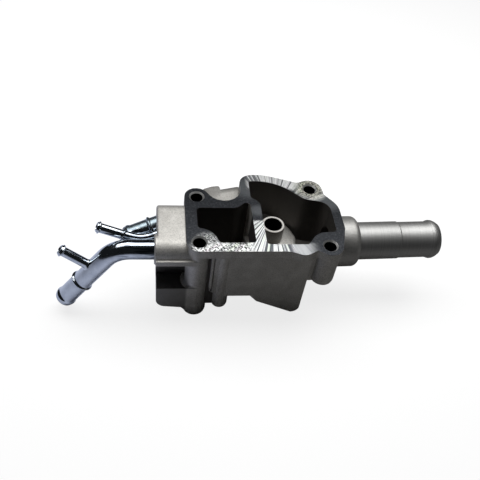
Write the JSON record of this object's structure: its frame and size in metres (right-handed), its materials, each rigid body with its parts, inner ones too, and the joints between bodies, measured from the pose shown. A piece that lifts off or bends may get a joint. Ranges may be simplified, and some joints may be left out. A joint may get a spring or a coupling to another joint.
{
  "type": "coolant outlet housing",
  "caption": "Cast aluminium coolant outlet housing with two open chambers, a hose spigot and plated steel heater pipes.",
  "frame": {"origin": "on the gasket face, in the middle of the partition's machined top", "axes": "+Z out of the gasket face, +X towards the hose spigot, +Y towards the flange's rear edge"},
  "size_m": [0.3335, 0.0982, 0.0845],
  "materials": {
    "cast_aluminium": "satin",
    "plated_steel": "polished"
  },
  "bodies": {
    "root": {"housing": "cast_aluminium", "front_heater_pipe": "plated_steel", "front_nipple": "plated_steel", "rear_heater_pipe": "plated_steel", "vent_pipe": "plated_steel"}
  },
  "joints": []
}
